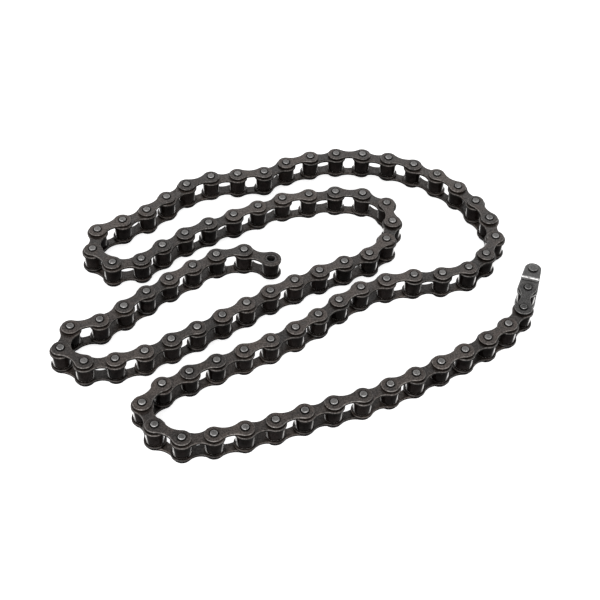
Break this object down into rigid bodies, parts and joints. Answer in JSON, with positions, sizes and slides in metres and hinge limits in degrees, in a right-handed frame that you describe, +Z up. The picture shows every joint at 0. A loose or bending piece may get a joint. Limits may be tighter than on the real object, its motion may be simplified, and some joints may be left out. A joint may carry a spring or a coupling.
{
  "type": "drive chain",
  "caption": "Half-inch pitch roller drive chain lying on its side in an open serpentine, with hinged links at both ends and a cranked offset link with a headed pin.",
  "frame": {"origin": "centre of the whole chain's box, on the surface that the pins stand on", "axes": "+Z up along the pins, +X along the longest extent of the lay, +Y away from the viewer across the lay"},
  "size_m": [0.2092, 0.19, 0.0132],
  "materials": {
    "outer_plate_steel": "blackened, oiled, satin",
    "inner_plate_steel": "blackened, oiled, satin",
    "pin_steel": "riveted ends worn bright",
    "bush_steel": "ground, oiled",
    "roller_steel": "dark, smooth, oiled",
    "offset_steel": "grey, satin",
    "clip_steel": "spring steel"
  },
  "bodies": {
    "nested_run": {"nested_run_outer_plates": "outer_plate_steel", "nested_run_pins": "pin_steel", "nested_run_inner_plates": "inner_plate_steel", "nested_run_bushes": "bush_steel", "nested_run_rollers": "roller_steel"},
    "side_run": {"side_run_outer_plates": "outer_plate_steel", "side_run_pins": "pin_steel", "side_run_inner_plates": "inner_plate_steel", "side_run_bushes": "bush_steel", "side_run_rollers": "roller_steel"},
    "front_run": {"front_run_outer_plates": "outer_plate_steel", "front_run_pins": "pin_steel", "front_run_inner_plates": "inner_plate_steel", "front_run_bushes": "bush_steel", "front_run_rollers": "roller_steel"},
    "link_01": {"link_01_inner_plates": "inner_plate_steel", "link_01_bushes": "bush_steel"},
    "roller_01": {"roller_01": "roller_steel"},
    "roller_02": {"roller_02": "roller_steel"},
    "link_02": {"link_02_outer_plates": "outer_plate_steel", "link_02_pins": "pin_steel"},
    "link_03": {"link_03_inner_plates": "inner_plate_steel", "link_03_bushes": "bush_steel"},
    "roller_03": {"roller_03": "roller_steel"},
    "roller_04": {"roller_04": "roller_steel"},
    "link_04": {"link_04_outer_plates": "outer_plate_steel", "link_04_pins": "pin_steel"},
    "link_05": {"link_05_inner_plates": "inner_plate_steel", "link_05_bushes": "bush_steel"},
    "roller_05": {"roller_05": "roller_steel"},
    "roller_06": {"roller_06": "roller_steel"},
    "link_06": {"link_06_outer_plates": "outer_plate_steel", "link_06_pins": "pin_steel"},
    "link_80": {"link_80_outer_plates": "outer_plate_steel", "link_80_pins": "pin_steel"},
    "link_81": {"link_81_inner_plates": "inner_plate_steel", "link_81_bushes": "bush_steel"},
    "roller_81": {"roller_81": "roller_steel"},
    "roller_82": {"roller_82": "roller_steel"},
    "link_82": {"link_82_outer_plates": "outer_plate_steel", "link_82_pins": "pin_steel"},
    "link_83": {"link_83_inner_plates": "inner_plate_steel", "link_83_bushes": "bush_steel"},
    "roller_83": {"roller_83": "roller_steel"},
    "roller_84": {"roller_84": "roller_steel"},
    "link_84": {"link_84_outer_plates": "outer_plate_steel", "link_84_pins": "pin_steel"},
    "link_85": {"link_85_inner_plates": "inner_plate_steel", "link_85_bushes": "bush_steel"},
    "roller_85": {"roller_85": "roller_steel"},
    "roller_86": {"roller_86": "roller_steel"},
    "link_86": {"link_86_outer_plates": "outer_plate_steel", "link_86_pins": "pin_steel"},
    "offset_link": {"offset_plate_upper": "offset_steel", "offset_plate_lower": "offset_steel", "offset_bush": "bush_steel", "offset_pin": "pin_steel", "offset_clip": "clip_steel"},
    "offset_roller": {"offset_roller": "roller_steel"}
  },
  "joints": [
    {"name": "fold_at_pin_56", "type": "hinge", "parent": "nested_run", "child": "side_run", "pos_m": [0.08542, 0.03587, 0.0065], "axis": [0, 0, 1], "range_deg": [-2, 100]},
    {"name": "fold_at_pin_72", "type": "hinge", "parent": "side_run", "child": "front_run", "pos_m": [-0.05685, -0.08456, 0.0065], "axis": [0, 0, -1], "range_deg": [-3, 100]},
    {"name": "link_hinge_07", "type": "hinge", "parent": "nested_run", "child": "link_06", "pos_m": [-0.07682, -0.01993, 0.0065], "axis": [0, 0, -1], "range_deg": [-8, 5]},
    {"name": "link_hinge_06", "type": "hinge", "parent": "link_06", "child": "link_05", "pos_m": [-0.06832, -0.0105, 0.0065], "axis": [0, 0, 1], "range_deg": [-7, 12]},
    {"name": "link_hinge_05", "type": "hinge", "parent": "link_05", "child": "link_04", "pos_m": [-0.05934, -0.00151, 0.0065], "axis": [0, 0, -1], "range_deg": [-14, 9]},
    {"name": "link_hinge_04", "type": "hinge", "parent": "link_04", "child": "link_03", "pos_m": [-0.04991, 0.00698, 0.0065], "axis": [0, 0, 1], "range_deg": [-14, 20]},
    {"name": "link_hinge_03", "type": "hinge", "parent": "link_03", "child": "link_02", "pos_m": [-0.04004, 0.01498, 0.0065], "axis": [0, 0, -1], "range_deg": [-35, 30]},
    {"name": "link_hinge_02", "type": "hinge", "parent": "link_02", "child": "link_01", "pos_m": [-0.02796, 0.0189, 0.0065], "axis": [0, 0, 1], "range_deg": [-60, 80]},
    {"name": "link_hinge_80", "type": "hinge", "parent": "front_run", "child": "link_80", "pos_m": [0.03653, -0.05717, 0.0065], "axis": [0, 0, 1], "range_deg": [-75, 6]},
    {"name": "link_hinge_81", "type": "hinge", "parent": "link_80", "child": "link_81", "pos_m": [0.0473, -0.05044, 0.0065], "axis": [0, 0, -1], "range_deg": [-7, 75]},
    {"name": "link_hinge_82", "type": "hinge", "parent": "link_81", "child": "link_82", "pos_m": [0.05783, -0.04333, 0.0065], "axis": [0, 0, 1], "range_deg": [-75, 9]},
    {"name": "link_hinge_83", "type": "hinge", "parent": "link_82", "child": "link_83", "pos_m": [0.06811, -0.03587, 0.0065], "axis": [0, 0, -1], "range_deg": [-11, 75]},
    {"name": "link_hinge_84", "type": "hinge", "parent": "link_83", "child": "link_84", "pos_m": [0.07812, -0.02805, 0.0065], "axis": [0, 0, 1], "range_deg": [-75, 13]},
    {"name": "link_hinge_85", "type": "hinge", "parent": "link_84", "child": "link_85", "pos_m": [0.0874, -0.01939, 0.0065], "axis": [0, 0, -1], "range_deg": [-19, 75]},
    {"name": "link_hinge_86", "type": "hinge", "parent": "link_85", "child": "link_86", "pos_m": [0.09469, -0.00899, 0.0065], "axis": [0, 0, 1], "range_deg": [-75, 36]},
    {"name": "link_hinge_87", "type": "hinge", "parent": "link_86", "child": "offset_link", "pos_m": [0.09754, 0.00339, 0.0065], "axis": [0, 0, -1], "range_deg": [-90, 90]},
    {"name": "roller_turn_01", "type": "hinge", "parent": "link_01", "child": "roller_01", "pos_m": [-0.01575, 0.0154, 0.0065], "axis": [0, 0, 1], "continuous": true},
    {"name": "roller_turn_02", "type": "hinge", "parent": "link_01", "child": "roller_02", "pos_m": [-0.02796, 0.0189, 0.0065], "axis": [0, 0, 1], "continuous": true},
    {"name": "roller_turn_03", "type": "hinge", "parent": "link_03", "child": "roller_03", "pos_m": [-0.04004, 0.01498, 0.0065], "axis": [0, 0, 1], "continuous": true},
    {"name": "roller_turn_04", "type": "hinge", "parent": "link_03", "child": "roller_04", "pos_m": [-0.04991, 0.00698, 0.0065], "axis": [0, 0, 1], "continuous": true},
    {"name": "roller_turn_05", "type": "hinge", "parent": "link_05", "child": "roller_05", "pos_m": [-0.05934, -0.00151, 0.0065], "axis": [0, 0, 1], "continuous": true},
    {"name": "roller_turn_06", "type": "hinge", "parent": "link_05", "child": "roller_06", "pos_m": [-0.06832, -0.0105, 0.0065], "axis": [0, 0, 1], "continuous": true},
    {"name": "roller_turn_81", "type": "hinge", "parent": "link_81", "child": "roller_81", "pos_m": [0.0473, -0.05044, 0.0065], "axis": [0, 0, 1], "continuous": true},
    {"name": "roller_turn_82", "type": "hinge", "parent": "link_81", "child": "roller_82", "pos_m": [0.05783, -0.04333, 0.0065], "axis": [0, 0, 1], "continuous": true},
    {"name": "roller_turn_83", "type": "hinge", "parent": "link_83", "child": "roller_83", "pos_m": [0.06811, -0.03587, 0.0065], "axis": [0, 0, 1], "continuous": true},
    {"name": "roller_turn_84", "type": "hinge", "parent": "link_83", "child": "roller_84", "pos_m": [0.07812, -0.02805, 0.0065], "axis": [0, 0, 1], "continuous": true},
    {"name": "roller_turn_85", "type": "hinge", "parent": "link_85", "child": "roller_85", "pos_m": [0.0874, -0.01939, 0.0065], "axis": [0, 0, 1], "continuous": true},
    {"name": "roller_turn_86", "type": "hinge", "parent": "link_85", "child": "roller_86", "pos_m": [0.09469, -0.00899, 0.0065], "axis": [0, 0, 1], "continuous": true},
    {"name": "roller_turn_87", "type": "hinge", "parent": "offset_link", "child": "offset_roller", "pos_m": [0.09754, 0.00339, 0.0065], "axis": [0, 0, 1], "continuous": true}
  ]
}
